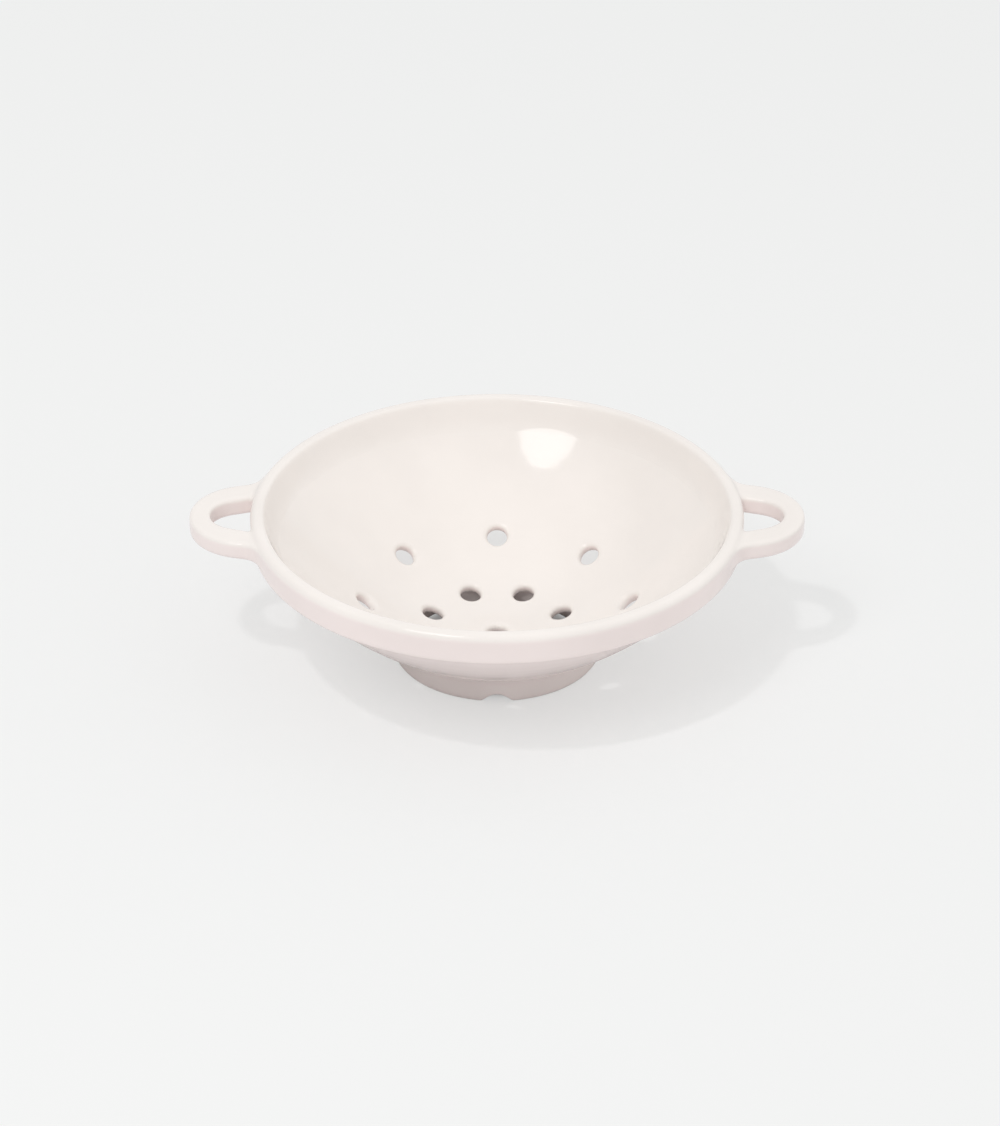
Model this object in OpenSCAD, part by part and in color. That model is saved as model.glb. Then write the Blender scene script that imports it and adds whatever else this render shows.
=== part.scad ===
// Berry colander bowl in glazed stoneware: a perforated bowl on a notched foot ring,
// with a thick rim band and two loop handles. The clay pieces are joined with slip and
// fired as one. Millimetres, +Z up, the origin on the table under the middle of the foot.

/* [Bowl] */
// Outside diameter over the rim band
rim_d = 185; // [160:1:220]
// Height from the table to the top of the lip
bowl_h = 60.6; // [50:0.1:75]
// Thickness of the bowl's wall
wall = 4.4; // [3:0.1:6]
// Gap between the table and the middle of the underside
floor_gap = 3.6; // [2.5:0.1:8]
// Diameter of the flat middle of the floor
flat_d = 23.4; // [12:0.2:36]

/* [Rim band] */
// Height of the band's outer face
band_h = 12.1; // [10:0.1:15]
// Thickness of the lip
lip_t = 4.9; // [4:0.1:6.5]
// How far the crease inside the bowl lies in from the rim's outside
crease_inset = 9.1; // [8:0.1:12]
// How far the band laps down over the outside of the bowl's top edge
band_lap = 2.8; // [0.6:0.1:4]
// How far the band draws in at its lower edge
band_draw = 0.9; // [0:0.1:1.5]
// Rounding of the lip's outer edge
lip_edge_r = 2.4; // [0.5:0.1:2.8]
// Rounding of the lip's inner edge
lip_inner_r = 1.8; // [0.5:0.1:2.4]
// Rounding of the band's lower edge
band_edge_r = 1.3; // [0.3:0.1:1.8]

/* [Drain holes] */
// Diameter of a drain hole
hole_d = 7.4; // [5:0.1:9]
// Diameter of the inner ring of holes
inner_ring_d = 52.2; // [40:0.2:60]
// Diameter of the outer ring of holes
outer_ring_d = 98.4; // [90:0.2:120]
// Number of holes in each ring
ring_holes = 8; // [5:1:10]

/* [Foot ring] */
// Outside diameter of the foot where it stands
foot_d = 78.4; // [74:0.2:84]
// Thickness of the foot ring
foot_t = 5.4; // [4:0.1:6]
// How far the foot's outer face draws in towards the bowl
foot_draw = 0.6; // [0:0.1:2]
// Rounding of the foot's standing edges
foot_edge_r = 1.2; // [0.4:0.1:1.6]
// Width of a drain notch at the table
notch_w = 10.6; // [6:0.1:16]
// Height of a drain notch
notch_h = 3.1; // [1.5:0.1:4]
// Number of drain notches
notches = 4; // [3:1:6]

/* [Handles] */
// Reach of a handle from the rim to its tip
handle_reach = 22.5; // [20:0.1:32]
// Step from the lip down to the handle's top face
handle_drop = 1.8; // [1.5:0.1:3]
// Step from the band's lower edge up to the handle's bottom face
handle_rise = 3.1; // [0.8:0.1:4]
// Width of the handle at its tip
bar_w = 7.9; // [5:0.1:10]
// Radius of the round end of the finger opening
loop_r = 10.3; // [8:0.1:11]
// Angle at which each side of the finger opening widens towards the rim
loop_splay = 20; // [5:1:25]
// Rounding of the handle's edges
handle_edge_r = 2; // [0.8:0.1:2.4]
// Radius of the hollow curve where a handle runs out onto the band
root_r = 6; // [3:0.1:10]

/* [Hidden] */
$fn = 120;

glaze_colour = "#efe7e0";

// How far a cutting shape runs past what it cuts
overrun = 1;

rim_r = rim_d / 2;
flat_r = flat_d / 2;
floor_z = floor_gap + wall;
foot_r = foot_d / 2;

// The crease, where the bowl's inside meets the band's sloping inside
crease_r = rim_r - crease_inset;
band_low_z = bowl_h - band_h;
crease_z = band_low_z + band_lap;

// Slight bend at which one curve crosses the next, instead of only touching it
bend = 1.5;

// The inside curve runs from the flat floor through a belly arc to a flatter side arc,
// which ends at the crease. The side starts as steep as the straight line from the
// floor's edge to the crease, and is carried on a little inside the belly.
side_lap = 1.2;
belly_reach_share = 0.47;
side_slope = atan2(crease_z - floor_z, crease_r - flat_r);
belly_end_slope = side_slope + bend;
belly_end_r = flat_r + belly_reach_share * (crease_r - flat_r);
belly_r = (belly_end_r - flat_r) / (sin(belly_end_slope) - sin(bend));
belly_centre = [flat_r - belly_r * sin(bend), floor_z + belly_r * cos(bend)];
belly_end = [belly_end_r, belly_centre.y - belly_r * cos(belly_end_slope)];
side_run = [crease_r, crease_z] - belly_end;
side_half_turn = atan2(side_run.y, side_run.x) - side_slope;
side_r = norm(side_run) / (2 * sin(side_half_turn));
side_centre = belly_end + side_r * [-sin(side_slope), cos(side_slope)];

handle_top_z = bowl_h - handle_drop;
handle_low_z = band_low_z + handle_rise;
handle_t = handle_top_z - handle_low_z;
loop_x = rim_r + handle_reach - bar_w - loop_r;

// Steepness of the inside curve at a given distance from the axis
function slope_at(r) = r < belly_end_r
    ? asin((r - belly_centre.x) / belly_r)
    : asin((r - side_centre.x) / side_r);

// Height of the inside curve at a given distance from the axis
function height_at(r) = r < belly_end_r
    ? belly_centre.y - belly_r * cos(slope_at(r))
    : side_centre.y - side_r * cos(slope_at(r));

// Half profile of the bowl's hollow up to the crease, grown by a margin
module hollow_region(margin) {
    intersection() {
        translate([0, floor_z - margin]) square([rim_r, crease_z - floor_z + margin]);
        union() {
            square([belly_centre.x, crease_z]);
            translate(belly_centre) circle(belly_r + margin);
            intersection() {
                translate([belly_end_r - side_lap, 0]) square([rim_r, crease_z]);
                translate(side_centre) circle(side_r + margin);
            }
        }
    }
}

// Polygon with each corner rounded to its own radius, and left sharp where that is zero.
// A corner is cut off by a kite that reaches from the arc's centre past both edges.
module softened(points, radii) {
    last = len(points) - 1;
    kite_share = 1.5;
    difference() {
        polygon(points);
        for (i = [0 : last]) if (radii[i] > 0) {
            corner = points[i];
            before = points[i == 0 ? last : i - 1] - corner;
            after = points[i == last ? 0 : i + 1] - corner;
            one = before / norm(before);
            other = after / norm(after);
            half = acos(one * other) / 2;
            depth = radii[i] * cos(bend);
            middle = (one + other) / norm(one + other);
            inward = middle * depth / sin(half);
            run = depth / tan(half);
            translate(corner + inward)
                difference() {
                    polygon(kite_share * [[0, 0], one * run - inward, -inward, other * run - inward]);
                    circle(radii[i]);
                }
        }
    }
}

// Drain hole square to the wall at distance r from the axis
module drain_hole(r, angle) {
    rotate([0, 0, angle])
        translate([r, 0, height_at(r)])
            rotate([0, -slope_at(r), 0])
                translate([0, 0, -wall - overrun])
                    cylinder(d = hole_d, h = wall + 2 * overrun);
}

// The hole in the middle and the two rings of holes, turned half a step from each other
module drain_holes() {
    step = 360 / ring_holes;
    translate([0, 0, floor_z - wall - overrun])
        cylinder(d = hole_d, h = wall + 2 * overrun);
    for (i = [0 : ring_holes - 1]) {
        drain_hole(inner_ring_d / 2, (i + 0.5) * step);
        drain_hole(outer_ring_d / 2, i * step);
    }
}

module bowl_shell() {
    // Turned so that the line where the wall closes on itself runs between the holes
    seam_turn = 90 / ring_holes;
    color(glaze_colour)
        difference() {
            rotate([0, 0, seam_turn])
                rotate_extrude()
                    difference() {
                        hollow_region(wall);
                        hollow_region(0);
                    }
            drain_holes();
        }
}

module rim_band() {
    color(glaze_colour)
        rotate_extrude()
            difference() {
                softened(
                    [[crease_r, crease_z], [crease_r, band_low_z], [rim_r - band_draw, band_low_z],
                     [rim_r, bowl_h], [rim_r - lip_t, bowl_h]],
                    [0, 0, band_edge_r, lip_edge_r, lip_inner_r]);
                hollow_region(wall);
            }
}

module foot_ring() {
    foot_h = height_at(foot_r) - wall / 2;
    notch_r = (notch_w * notch_w / 4 + notch_h * notch_h) / (2 * notch_h);
    color(glaze_colour)
        difference() {
            // Turned so that the line where the ring closes on itself runs between the notches
            rotate([0, 0, 90 - 180 / notches])
                rotate_extrude()
                    difference() {
                        softened(
                            [[foot_r - foot_t, 0], [foot_r, 0],
                             [foot_r - foot_draw, foot_h], [foot_r - foot_t, foot_h]],
                            [foot_edge_r, foot_edge_r, 0, 0]);
                        hollow_region(wall);
                    }
            for (i = [0 : notches - 1])
                rotate([0, 0, -90 + i * 360 / notches])
                    translate([foot_r - foot_t - overrun, 0, notch_h - notch_r])
                        rotate([0, 90, 0])
                            cylinder(r = notch_r, h = foot_t + 2 * overrun);
        }
}

// Section of a gap of half width r through the handle, flared where the edges are rounded
module gap_section(r) {
    flare = r + handle_edge_r * cos(bend);
    beside = flare + overrun;
    difference() {
        translate([0, -overrun]) square([flare, handle_t + 2 * overrun]);
        softened([[r, 0], [beside, 0], [beside, handle_t], [r, handle_t]],
            [handle_edge_r, 0, 0, handle_edge_r]);
    }
}

// Loop handle on the +X side: a round-edged disc centred on the rim's outside, with its
// root curves, finger opening and seat on the band cut from it
module loop_handle() {
    // The centre of the root curve, which touches both the handle's outline and the rim
    from_hub = handle_reach + root_r;
    from_axis = rim_r + root_r;
    root_x = (from_axis * from_axis - from_hub * from_hub + rim_r * rim_r) / (2 * rim_r);
    root = [root_x, sqrt(from_axis * from_axis - root_x * root_x)];
    hub = [rim_r, 0];
    on_handle = hub + (root - hub) * handle_reach / from_hub;
    on_rim = root * rim_r / from_axis;
    difference() {
        translate([0, 0, handle_low_z])
            difference() {
                union() {
                    translate(hub)
                        rotate_extrude()
                            softened(
                                [[0, 0], [handle_reach, 0], [handle_reach, handle_t], [0, handle_t]],
                                [0, handle_edge_r, handle_edge_r, 0]);
                    for (side = [0, 1])
                        mirror([0, side, 0])
                            linear_extrude(handle_t) polygon([hub, on_handle, root, on_rim]);
                }
                for (side = [0, 1])
                    mirror([0, side, 0]) translate(root) rotate_extrude() gap_section(root_r);
                translate([loop_x, 0])
                    rotate([0, 0, loop_splay - 90])
                        rotate_extrude(angle = 180 - 2 * loop_splay) gap_section(loop_r);
                for (side = [0, 1], half = [0, 1])
                    mirror([0, side, 0])
                        translate([loop_x, 0])
                            rotate([0, 0, 180 - loop_splay])
                                mirror([0, half, 0])
                                    rotate([90, 0, 90])
                                        linear_extrude(handle_reach) gap_section(loop_r);
            }
        rotate_extrude()
            softened([[0, band_low_z], [rim_r - band_draw, band_low_z], [rim_r, bowl_h], [0, bowl_h]],
                [0, 0, lip_edge_r, 0]);
    }
}

module handle_left() {
    color(glaze_colour) mirror([1, 0, 0]) loop_handle();
}

module handle_right() {
    color(glaze_colour) loop_handle();
}

bowl_shell();
rim_band();
foot_ring();
handle_left();
handle_right();
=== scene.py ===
"""Berry colander bowl in glazed stoneware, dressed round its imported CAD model."""
import math

import bmesh
import bpy
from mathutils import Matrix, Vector


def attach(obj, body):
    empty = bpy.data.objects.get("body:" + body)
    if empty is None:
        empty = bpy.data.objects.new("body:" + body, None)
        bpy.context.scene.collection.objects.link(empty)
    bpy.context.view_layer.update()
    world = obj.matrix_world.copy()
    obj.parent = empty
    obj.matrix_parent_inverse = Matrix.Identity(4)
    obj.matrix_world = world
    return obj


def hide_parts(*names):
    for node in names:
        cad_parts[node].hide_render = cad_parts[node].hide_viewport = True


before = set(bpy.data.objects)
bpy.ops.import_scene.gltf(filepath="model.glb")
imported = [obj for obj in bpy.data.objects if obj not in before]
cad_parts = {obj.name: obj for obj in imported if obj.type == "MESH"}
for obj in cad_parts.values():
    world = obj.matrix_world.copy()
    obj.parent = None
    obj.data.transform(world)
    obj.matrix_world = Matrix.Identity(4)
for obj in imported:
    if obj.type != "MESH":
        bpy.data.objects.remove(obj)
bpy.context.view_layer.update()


# Bowl wall: stoneware clay thrown on a wheel to one even wall. While it is leather
# hard, 17 drain holes are cut square to the wall and their edges are sponged soft.
MM = 0.001
wall_t = 4.4 * MM
hole_r = 3.7 * MM
inner_ring_r, outer_ring_r = 26.1 * MM, 49.2 * MM
ring_holes = 8
wall_segments = 48
same_place = 0.01 * MM  # points closer than this are merged

# the inside curve, with the side arc's centre as its radius and height
flat_r, floor_z = 10 * MM, 8 * MM
belly_r, belly_end = 65.87 * MM, 43.47 * MM
side_r, side_centre = 151.12 * MM, (-33.31 * MM, 147.3 * MM)


def inside_height(r):
    """Height of the bowl's inside face at radius r: flat floor, belly and side."""
    if r <= flat_r:
        return floor_z
    if r <= belly_end:
        return floor_z + belly_r - math.sqrt(belly_r**2 - (r - flat_r) ** 2)
    return side_centre[1] - math.sqrt(side_r**2 - (r - side_centre[0]) ** 2)


def inside_slope(r):
    """Steepness of the bowl's inside face at radius r, past the flat floor."""
    if r <= belly_end:
        return math.asin((r - flat_r) / belly_r)
    return math.asin((r - side_centre[0]) / side_r)


def deselect():
    bpy.ops.object.select_all(action="DESELECT")


def line_of_points(name, points):
    """Draws a line in the XZ plane and leaves it in edit mode.

    It starts as a plane that is merged to one point, which is then extruded on.
    """
    deselect()
    bpy.ops.mesh.primitive_plane_add(size=MM)
    piece = bpy.context.object
    piece.name = piece.data.name = name
    bpy.ops.object.mode_set(mode="EDIT")
    bpy.ops.mesh.select_mode(type="VERT")
    bpy.ops.mesh.select_all(action="SELECT")
    bpy.ops.mesh.merge(type="CENTER")
    bpy.ops.transform.translate(value=(points[0][0], 0, points[0][1]))
    for here, there in zip(points, points[1:]):
        step = (there[0] - here[0], 0, there[1] - here[1])
        bpy.ops.mesh.extrude_vertices_move(TRANSFORM_OT_translate={"value": step})
    return piece


def turn_on_wheel(angle, steps=1, copies=False):
    """Spins what is selected round the bowl's axis, clockwise as seen from above."""
    bpy.ops.mesh.spin(steps=steps, angle=angle, dupli=copies, center=(0, 0, 0), axis=(0, 0, 1))


def pick(kind, wanted, more=False):
    """Selects what passes wanted, of the edges or faces of the mesh in edit mode."""
    bpy.ops.mesh.select_mode(type={"edges": "EDGE", "faces": "FACE"}[kind])
    if not more:
        bpy.ops.mesh.select_all(action="DESELECT")
    mesh = bmesh.from_edit_mesh(bpy.context.object.data)
    for item in getattr(mesh, kind):
        if wanted(item):
            item.select_set(True)
    mesh.select_flush_mode()
    bmesh.update_edit_mesh(bpy.context.object.data)


def middle(item):
    return sum((v.co for v in item.verts), Vector()) / len(item.verts)


def merge_doubles():
    bpy.ops.mesh.select_all(action="SELECT")
    bpy.ops.mesh.remove_doubles(threshold=same_place)


def apply_modifier(piece, kind, **settings):
    bpy.context.view_layer.objects.active = piece
    modifier = piece.modifiers.new(kind.title(), kind)
    for name, value in settings.items():
        setattr(modifier, name, value)
    bpy.ops.object.modifier_apply(modifier=modifier.name)


def subdivide(piece, levels):
    apply_modifier(piece, "SUBSURF", levels=levels, render_levels=levels, boundary_smooth="ALL")


def smooth(piece):
    deselect()
    piece.select_set(True)
    bpy.context.view_layer.objects.active = piece
    bpy.ops.object.shade_smooth()


# a finely spun former with the inside curve, a point each millimetre past its flat
# middle, which the wall's inside face is pressed onto
former_from, former_to, former_steps = 10, 89, 384
former = line_of_points("throwing_former", [(0, floor_z)] + [
    (r * MM, inside_height(r * MM)) for r in range(former_from, former_to + 1)
])
bpy.ops.object.mode_set(mode="OBJECT")
apply_modifier(
    former, "SCREW", steps=former_steps, render_steps=former_steps, use_merge_vertices=True
)

# the wall's rings of points, in millimetres from the axis
point_rings = [3.72, 6.1, 9.8, 14, 19.2, 22.7, 26.1, 29.5, 33, 36.8, 40.8, 45, 49.2, 53.4, 57.6,
               63.5, 70, 76.6, 83.4, 86.3]
wall = line_of_points("bowl_wall", [(r * MM, inside_height(r * MM)) for r in point_rings])
bpy.ops.mesh.select_all(action="SELECT")
turn_on_wheel(math.tau, wall_segments)
merge_doubles()

# each hole's patch of the wall, four segments wide and from one ring of points to another,
# gives way to two circles of points: the hole's edge, and one that holds the wall round it
inner_patch, outer_patch = (19.2 * MM, 33 * MM), (40.8 * MM, 57.6 * MM)
half_patch = 2 * math.tau / wall_segments
circle_points, support_r = 16, 5.7 * MM
hole_shrink = 0.976  # what two levels of subdivision leave of such a circle
slack = 0.1 * MM
lift = Vector((0, 0, 4 * MM))
hole_places = [Vector((0, 0, floor_z))]
for ring_r, (patch_from, patch_to), first_turn, bridge_cuts in (
    (inner_ring_r, inner_patch, math.pi / ring_holes, 0),
    (outer_ring_r, outer_patch, 0, 1),
):
    for i in range(ring_holes):
        turn = first_turn + i * math.tau / ring_holes

        def in_patch(point):
            side = (math.atan2(point.y, point.x) - turn + math.pi) % math.tau - math.pi
            return (
                patch_from - slack < math.hypot(point.x, point.y) < patch_to + slack
                and abs(side) * ring_r < half_patch * ring_r + slack
            )

        pick("faces", lambda face: all(in_patch(v.co) for v in face.verts))
        bpy.ops.mesh.delete(type="FACE")
        at = Vector((ring_r * math.cos(turn), ring_r * math.sin(turn), inside_height(ring_r)))
        hole_places.append(at)
        # the circles stand above the wall while they are bridged, and are then pressed onto it
        circles = [(support_r, at + lift), (hole_r / hole_shrink, at + 2 * lift)]
        for radius, place in circles:
            bpy.ops.mesh.primitive_circle_add(
                vertices=circle_points, radius=radius, location=place,
                rotation=(0, -inside_slope(ring_r), turn),
            )

        def on_circle_edge(edge, radius, place):
            return all(abs((v.co - place).length - radius) < slack for v in edge.verts)

        pick("edges", lambda e: e.is_boundary and all(in_patch(v.co) for v in e.verts))
        pick("edges", lambda e: on_circle_edge(e, *circles[0]), more=True)
        bpy.ops.mesh.bridge_edge_loops(number_cuts=bridge_cuts, smoothness=0)
        pick("edges", lambda e: any(on_circle_edge(e, *circle) for circle in circles))
        bpy.ops.mesh.bridge_edge_loops()

# the sheet faces upwards, so that its thickness lies under the inside curve
bpy.ops.mesh.select_all(action="SELECT")
bpy.ops.mesh.normals_make_consistent(inside=False)
mesh = bmesh.from_edit_mesh(wall.data)
lowest = min(mesh.faces, key=lambda face: middle(face).z)
if lowest.normal.z < 0:
    bpy.ops.mesh.flip_normals()
bpy.ops.object.mode_set(mode="OBJECT")
press = dict(
    target=former, wrap_method="PROJECT", use_project_z=True, use_negative_direction=True
)
apply_modifier(wall, "SHRINKWRAP", **press)
subdivide(wall, 1)
apply_modifier(wall, "SHRINKWRAP", **press)
bpy.data.objects.remove(former)

# the loop of edges halfway between a hole and the circle round it goes, so that the
# hole's edge can be sponged round over the whole strip
halfway_from, halfway_to = 4.2 * MM, 5.2 * MM


def is_halfway(edge):
    return any(
        all(halfway_from < (v.co - at).length < halfway_to for v in edge.verts)
        for at in hole_places
    )


bpy.ops.object.mode_set(mode="EDIT")
pick("edges", is_halfway)
bpy.ops.mesh.dissolve_edges()
bpy.ops.object.mode_set(mode="OBJECT")
apply_modifier(wall, "SOLIDIFY", thickness=wall_t, offset=-1, use_quality_normals=True)

# the sharp edges of the holes are those near the axis, on both faces of the wall
hole_rounding = 1.8 * MM
holes_within = 80 * MM
sharp = math.radians(60)
bpy.ops.object.mode_set(mode="EDIT")
pick("edges", lambda e: math.hypot(*middle(e).xy) < holes_within and e.calc_face_angle(0) > sharp)
bpy.ops.mesh.bevel(offset=hole_rounding, segments=3, affect="EDGES")
bpy.ops.object.mode_set(mode="OBJECT")
subdivide(wall, 1)
smooth(wall)
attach(wall, "root")
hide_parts("bowl_shell")


# Lip band and the two loops: a thick coil of clay luted round the mouth, and two
# pulled loops pressed onto it and smoothed in at their roots.

# the band's section, as radius and height in millimetres: up over the lip, down the
# outside and back under it
band_points = [
    (78.5, 45.3), (80.5, 47.8), (82.3, 50.02), (84.1, 52.95), (86.6, 58.7), (87.4, 60.6),
    (89.1, 60.6), (91.05, 60.64), (92.5, 58.9), (92.26, 56.5), (92.05, 54.1), (91.84, 51.6),
    (91.76, 50.4), (91.6, 48.45), (89.3, 48.45), (86.6, 47.8), (85, 47.9), (78.5, 45.3),
]
# where a loop's root sits on the band's outside, in degrees from the loop's middle
root_from, root_to = 7.7, 18.6
root_low, root_high, root_inside_r = 51.6 * MM, 58.9 * MM, 91 * MM
# sections of the band, in degrees, close together over the root, and the rest in even steps
band_turns = [0, 3, 5.7, root_from, 11.3, 15, root_to, 22.5]
even_steps = 18

band = line_of_points("lip_band", [(r * MM, z * MM) for r, z in band_points])
bpy.ops.mesh.select_all(action="SELECT")
for here, there in zip(band_turns, band_turns[1:]):
    turn_on_wheel(-math.radians(there - here))
turn_on_wheel(-math.radians(90 - band_turns[-1]), even_steps)
merge_doubles()

# a loop lies between the circle of its finger gap and a larger disc, both with their
# middle on the X axis, and its sections turn round both in even steps, in degrees
gap_x, gap_r, gap_step = 96.8 * MM, 10.45 * MM, 17.5
disc_x, disc_r, disc_step = 92.5 * MM, 22.8 * MM, 16
seat_r = 92 * MM
neck_inner, neck_outer = Vector((93.2 * MM, 12.04 * MM, 0)), Vector((90.8 * MM, 23.2 * MM, 0))
gap_corner = Vector((96.6 * MM, 10.92 * MM, 0))


def on_circle(x, r, degrees):
    """Point on the circle with radius r round a point of the X axis."""
    turn = math.radians(degrees)
    return Vector((x + r * math.cos(turn), r * math.sin(turn), 0))


def loop_section(inner, outer):
    """Middle, width and turn of the loop's section between two points."""
    across = outer - inner
    return (inner + outer) / 2, across.length, math.atan2(across.y, across.x)


loop_sections = [
    loop_section(on_circle(0, seat_r, root_from), on_circle(0, seat_r, root_to)),
    loop_section(neck_inner, neck_outer),
    loop_section(gap_corner, on_circle(disc_x, disc_r, 5 * disc_step)),
] + [
    loop_section(on_circle(gap_x, gap_r, i * gap_step), on_circle(disc_x, disc_r, i * disc_step))
    for i in (4, 3, 2, 1, 0)
]


def at_root(face):
    at = middle(face)
    turn = math.degrees(math.atan2(at.y, at.x))
    on_outside = root_low < at.z < root_high and math.hypot(*at.xy) > root_inside_r
    return on_outside and root_from < turn < root_to


pick("faces", at_root)
for (here, width, turn), (there, next_width, next_turn) in zip(loop_sections, loop_sections[1:]):
    bpy.ops.mesh.extrude_region_move(TRANSFORM_OT_translate={"value": there - here})
    # with no window rotate turns clockwise
    bpy.ops.transform.rotate(
        value=turn - next_turn, orient_axis="Z", center_override=(there.x, there.y, 0)
    )
    share = next_width / width
    bpy.ops.transform.resize(value=(share, share, 1), center_override=(there.x, there.y, 0))
# the half loop ends flat and open in the plane that it is mirrored in, with its quarter
# of the band
bpy.ops.transform.resize(value=(1, 0, 1), center_override=(0, 0, 0))
bpy.ops.mesh.delete(type="FACE")
bpy.ops.object.mode_set(mode="OBJECT")
apply_modifier(
    band, "MIRROR", use_axis=(True, True, False), use_clip=True, merge_threshold=same_place
)
bpy.ops.object.mode_set(mode="EDIT")
merge_doubles()
bpy.ops.mesh.normals_make_consistent(inside=False)
bpy.ops.object.mode_set(mode="OBJECT")
subdivide(band, 2)
smooth(band)
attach(band, "root")
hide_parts("rim_band", "handle_left", "handle_right")


# Foot: a ring of clay luted under the bowl, with four notches cut in its standing
# edge for the water and sponged round.

# the foot's section, as radius and height in millimetres: from the bowl down the outside,
# over the standing edge and up the inside
foot_points = [
    (41.5, 11.6), (40.2, 10.15), (38.95, 9), (38.75, 6.6), (39.08, 2.2), (39.2, 0), (36.5, 0),
    (33.8, 0), (33.8, 2.2), (33.8, 5.2), (33.7, 6.6), (32.9, 7.2), (31.2, 7.6), (41.5, 11.6),
]
# sections of the foot, in degrees from a notch's middle, close together over the notch
foot_turns = [0, 3.4, 6.6, 8.4, 10.2, 14.9, 20.9, 26.9, 32.9, 38.9, 45]
notches = 4
# the arch of a notch, whose centre lies below the standing edge, and how the clay over it
# is lifted: in full near the edge, and less and less above that
arch_r, arch_below = 6.08 * MM, 2.98 * MM
full_lift_to = 2 * MM
fade_from, fade_over = 1 * MM, 6.6 * MM

foot = line_of_points("ring_foot", [(r * MM, z * MM) for r, z in foot_points])
bpy.ops.mesh.select_all(action="SELECT")
for here, there in zip(foot_turns, foot_turns[1:]):
    turn_on_wheel(math.radians(there - here))
merge_doubles()


def arch_height(y):
    """Height of a notch's arch at the distance y from its middle."""
    return math.sqrt(max(arch_r**2 - y**2, arch_below**2)) - arch_below


mesh = bmesh.from_edit_mesh(foot.data)
for point in mesh.verts:
    z = point.co.z
    share = 1 if z < full_lift_to else max(0, 1 - (z - fade_from) / fade_over)
    point.co.z += arch_height(point.co.y) * share
bmesh.update_edit_mesh(foot.data)
bpy.ops.object.mode_set(mode="OBJECT")
apply_modifier(
    foot, "MIRROR", use_axis=(False, True, False), use_clip=True, merge_threshold=same_place
)
# half a notch and half of the ring to the next were made; mirrored, they are one fourth
bpy.ops.object.mode_set(mode="EDIT")
bpy.ops.mesh.select_all(action="SELECT")
turn_on_wheel(math.tau, notches, copies=True)
merge_doubles()
bpy.ops.mesh.normals_make_consistent(inside=False)
bpy.ops.object.mode_set(mode="OBJECT")
subdivide(foot, 2)
smooth(foot)
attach(foot, "root")
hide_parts("foot_ring")


# Glaze: glossy cream stoneware glaze, dipped and fired. Its tone and gloss drift where it pools,
# and it follows the rings and flats of the thrown clay. Upright and hanging faces are tinted
# pinker:
# a painted shade tint, for the pinkish cast of faces turned from the light. The glaze is wiped
# off the foot's standing edge, where the bare buff clay shows.
thin_cream, thick_cream, painted_shade_pink, buff_clay = "#f1ebe6", "#f6f0eb", "#fff9fb", "#d9cab7"
thin_roughness, thick_roughness, clay_roughness, glaze_ior = 0.07, 0.11, 0.6, 1.5
pool_size, flat_size, ring_spacing = 40 * MM, 18 * MM, 4 * MM
flat_height, ring_height = 0.06 * MM, 0.006 * MM
wiped_from, wiped_to = 0.35 * MM, 0.2 * MM
pool_low, pool_high = 0.3, 0.7  # noise values between which the glaze goes from thin to thick
faces_up, faces_down = 0.35, -0.05  # upward part of the normal, from no painted shade tint to the full tint
wave_rate = 20  # radians that a wave texture of scale 1 runs through in a metre


def linear(code):
    """Turns an sRGB hex value to the linear colour that a node takes."""
    colour = []
    for i in (1, 3, 5):
        share = int(code[i : i + 2], 16) / 255
        colour.append(share / 12.92 if share <= 0.04045 else ((share + 0.055) / 1.055) ** 2.4)
    return (*colour, 1)


def add_node(owner, kind, settings=None, links=None):
    """Adds a node to a material or the world, with its settings and links.

    An input is named or numbered.
    """
    node = owner.node_tree.nodes.new(kind)
    for name, value in (settings or {}).items():
        if isinstance(name, int) or name in node.inputs:
            node.inputs[name].default_value = value
        else:
            setattr(node, name, value)
    for name, source in (links or {}).items():
        owner.node_tree.links.new(source, node.inputs[name])
    return node


glaze = bpy.data.materials.new("cream_glaze_on_stoneware")
glaze.use_nodes = True
glaze.node_tree.nodes.clear()
coordinates = add_node(glaze, "ShaderNodeTexCoord")
place = coordinates.outputs["Object"]
pools = add_node(glaze, "ShaderNodeTexNoise", {
    "Scale": 1 / pool_size, "Detail": 3, "Roughness": 0.5,
}, {"Vector": place}).outputs["Fac"]
glazed = add_node(glaze, "ShaderNodeValToRGB", links={"Fac": pools})
thin, thick = glazed.color_ramp.elements
thin.position, thin.color = pool_low, linear(thin_cream)
thick.position, thick.color = pool_high, linear(thick_cream)
# painted shade: faces that point sideways or down are tinted pinker, as faces in shade look
facing = add_node(glaze, "ShaderNodeSeparateXYZ", links={"Vector": coordinates.outputs["Normal"]})
painted_shade_mask = add_node(glaze, "ShaderNodeMapRange", {
    "From Min": faces_up, "From Max": faces_down,
}, {"Value": facing.outputs["Z"]}).outputs["Result"]
shade_tinted = add_node(glaze, "ShaderNodeMixRGB", {
    "blend_type": "MULTIPLY", "Color2": linear(painted_shade_pink),
}, {"Fac": painted_shade_mask, "Color1": glazed.outputs["Color"]})
height = add_node(glaze, "ShaderNodeSeparateXYZ", links={"Vector": place}).outputs["Z"]
wiped = add_node(glaze, "ShaderNodeMapRange", {
    "From Min": wiped_from, "From Max": wiped_to,
}, {"Value": height}).outputs["Result"]
tone = add_node(glaze, "ShaderNodeMixRGB", {
    "Color2": linear(buff_clay),
}, {"Fac": wiped, "Color1": shade_tinted.outputs["Color"]})
gloss = add_node(glaze, "ShaderNodeMapRange", {
    "From Min": pool_low, "From Max": pool_high, "To Min": thin_roughness,
    "To Max": thick_roughness,
}, {"Value": pools})
roughness = add_node(glaze, "ShaderNodeMath", {
    "operation": "MULTIPLY_ADD", 1: clay_roughness,
}, {0: wiped, 2: gloss.outputs["Result"]})
rings = add_node(glaze, "ShaderNodeTexWave", {
    "wave_type": "RINGS", "rings_direction": "Z", "Scale": math.tau / wave_rate / ring_spacing,
    "Distortion": 1.5, "Detail": 1, "Detail Scale": 0.5,
}, {"Vector": place})
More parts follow.
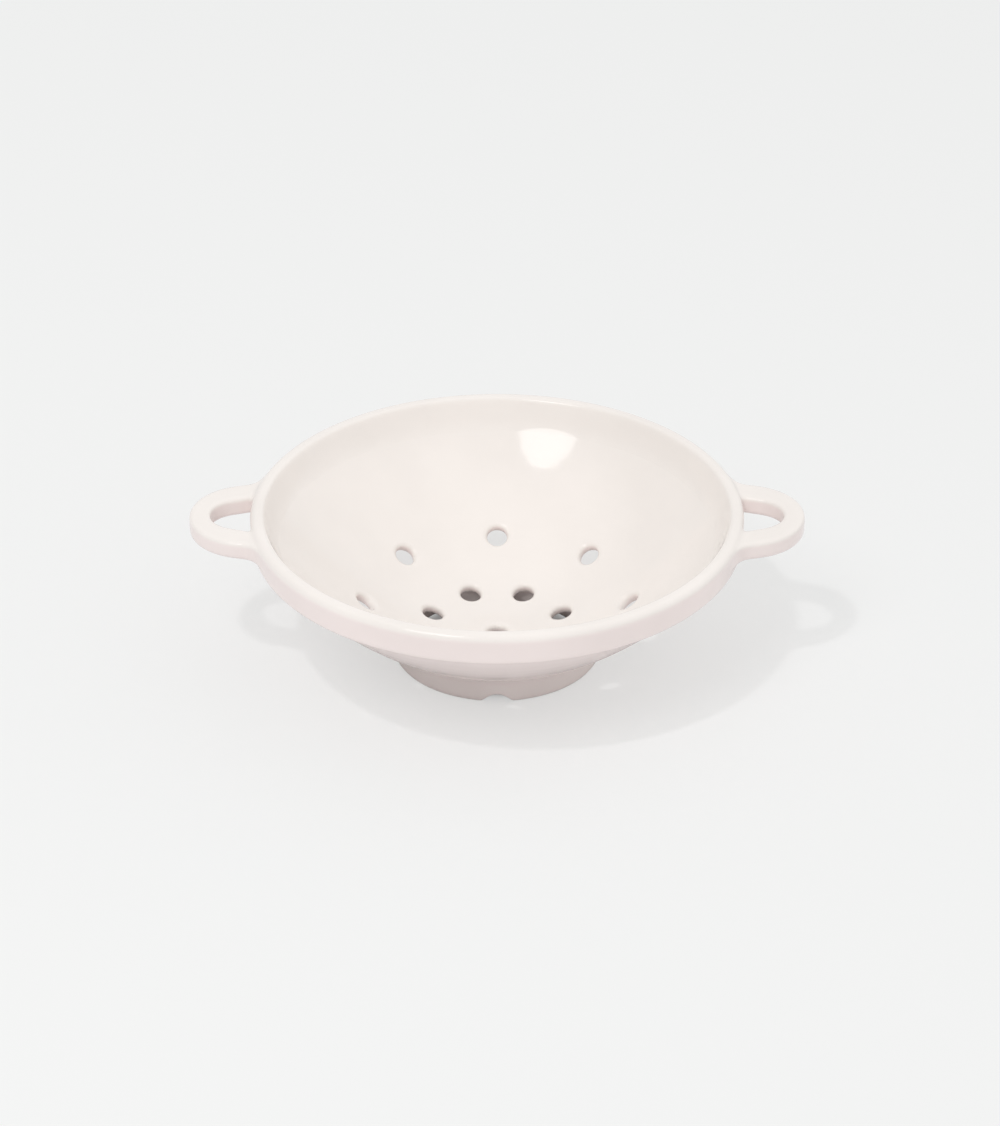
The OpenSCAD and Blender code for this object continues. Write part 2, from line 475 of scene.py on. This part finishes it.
flats = add_node(glaze, "ShaderNodeTexNoise", {
    "Scale": 1 / flat_size, "Detail": 1, "Roughness": 0.3,
}, {"Vector": place})
ringed = add_node(glaze, "ShaderNodeBump", {
    "Strength": 1, "Distance": ring_height,
}, {"Height": rings.outputs["Fac"]})
uneven = add_node(glaze, "ShaderNodeBump", {
    "Strength": 1, "Distance": flat_height,
}, {"Height": flats.outputs["Fac"], "Normal": ringed.outputs["Normal"]})
shader = add_node(glaze, "ShaderNodeBsdfPrincipled", {"IOR": glaze_ior}, {
    "Base Color": tone.outputs["Color"], "Roughness": roughness.outputs["Value"],
    "Normal": uneven.outputs["Normal"],
})
add_node(glaze, "ShaderNodeOutputMaterial", links={"Surface": shader.outputs["BSDF"]})
for piece in (wall, band, foot):
    piece.data.materials.clear()
    piece.data.materials.append(glaze)


# Floor: a plain pale seamless paper, lit so that the camera sees it nearly white. Part of
# what the camera sees is its own plain tone, which keeps the shadows on it as light as
# they are in a studio. Inside the foot's ring there is less of it, so the shadow there is deeper:
# shade painted in by place.
paper_w = 12
paper_tone, own_tone = "#efefef", "#f3f4f3"
open_share, painted_shade_share = 0.55, 0.2
shut_in_r, open_r = 32 * MM, 36 * MM

deselect()
bpy.ops.mesh.primitive_plane_add(size=paper_w)
floor = bpy.context.object
floor.name = "studio_floor"
paper = bpy.data.materials.new("matte_paper")
paper.use_nodes = True
paper.node_tree.nodes.clear()
lit = add_node(paper, "ShaderNodeBsdfDiffuse", {"Color": linear(paper_tone)})
plain = add_node(paper, "ShaderNodeEmission", {"Color": linear(own_tone)})
from_middle = add_node(paper, "ShaderNodeVectorMath", {"operation": "LENGTH"}, {
    0: add_node(paper, "ShaderNodeTexCoord").outputs["Object"],
})
# painted shade: inside the foot's ring less of the plain tone is seen, which deepens the floor's
# shadow there
plain_share = add_node(paper, "ShaderNodeMapRange", {
    "From Min": shut_in_r, "From Max": open_r, "To Min": painted_shade_share, "To Max": open_share,
}, {"Value": from_middle.outputs["Value"]})
seen = add_node(paper, "ShaderNodeMath", {"operation": "MULTIPLY"}, {
    0: add_node(paper, "ShaderNodeLightPath").outputs["Is Camera Ray"],
    1: plain_share.outputs["Result"],
})
both = add_node(paper, "ShaderNodeMixShader", links={
    0: seen.outputs["Value"], 1: lit.outputs["BSDF"], 2: plain.outputs["Emission"],
})
add_node(paper, "ShaderNodeOutputMaterial", links={"Surface": both.outputs["Shader"]})
floor.data.materials.append(paper)


# Room light: a white room, brighter towards the right, and a little towards the back and
# the ceiling.
brighter_towards, room_level = (0.2, 0.1, 0.08), 0.7

world = bpy.data.worlds.new("white_room")
bpy.context.scene.world = world
world.use_nodes = True
room = world.node_tree.nodes["Background"]
room.inputs["Color"].default_value = (1, 1, 1, 1)
brighter = add_node(world, "ShaderNodeVectorMath", {
    "operation": "DOT_PRODUCT", 1: brighter_towards,
}, {0: add_node(world, "ShaderNodeTexCoord").outputs["Generated"]})
level = add_node(world, "ShaderNodeMath", {
    "operation": "ADD", 1: room_level,
}, {0: brighter.outputs["Value"]})
world.node_tree.links.new(level.outputs["Value"], room.inputs["Strength"])


# Lamps: a small one at the upper left in front, which draws the shadows, and a large
# round softbox below it, which the glaze reflects.
lamp_distance = 2.5
for name, to_light, width, watts, shines in (
    ("key_lamp", (-0.298, -0.377, 0.876), 0.14, 10.5, False),
    ("round_softbox", (-0.349, -0.545, 0.765), 1.05, 10, True),
):
    to_light = Vector(to_light).normalized()
    light = bpy.data.lights.new(name, "AREA")
    light.shape, light.size, light.energy = "DISK", width, watts
    lamp = bpy.data.objects.new(name, light)
    bpy.context.scene.collection.objects.link(lamp)
    lamp.location = to_light * lamp_distance
    lamp.rotation_euler = to_light.to_track_quat("Z", "Y").to_euler()
    lamp.visible_glossy = shines


# Camera: solved from the photo's circles. Its lens and the turns that put the bowl where
# it is in the picture are in pixels of the photo.
distance, elevation = 1.8985, math.radians(31.35)
focal_px, photo_h_px, bowl_low_px, bowl_left_px = 5000, 1126, 84.8, 3.37
sensor_w = 36

lens = bpy.data.cameras.new("camera")
lens.sensor_width = sensor_w
lens.lens = focal_px / photo_h_px * sensor_w
lens.clip_start, lens.clip_end = 0.1, 50
camera = bpy.data.objects.new("camera", lens)
bpy.context.scene.collection.objects.link(camera)
camera.location = (0, -distance * math.cos(elevation), distance * math.sin(elevation))
camera.rotation_euler = (
    math.pi / 2 - elevation + math.atan(bowl_low_px / focal_px),
    0,
    -math.atan(bowl_left_px / focal_px),
)
bpy.context.scene.camera = camera
bpy.context.scene.view_settings.view_transform = "Standard"
